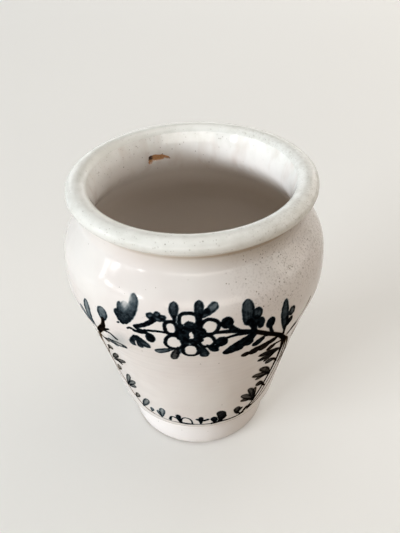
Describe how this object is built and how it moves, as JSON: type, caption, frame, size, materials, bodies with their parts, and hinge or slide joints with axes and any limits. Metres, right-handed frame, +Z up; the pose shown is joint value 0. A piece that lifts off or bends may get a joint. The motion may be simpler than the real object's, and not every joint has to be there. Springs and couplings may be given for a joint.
{
  "type": "ceramic pot",
  "caption": "Small open jar of tin-glazed earthenware with a rolled rim, full shoulder, tapering body and short turned foot, for holding utensils, flowers or kitchen goods.",
  "frame": {"origin": "middle of the underside, in the plane that the foot ring stands on", "axes": "+Z up along the axis that the pot was thrown on, -Y towards the painted front"},
  "size_m": [0.1176, 0.1176, 0.14],
  "materials": {
    "fired_clay": "bare fired earthenware, matt",
    "white_glaze": "opaque white tin glaze, glossy, with fine pinholes"
  },
  "bodies": {
    "root": {"clay_body": "fired_clay", "glaze_outside": "white_glaze", "glaze_inside": "white_glaze"}
  },
  "joints": []
}
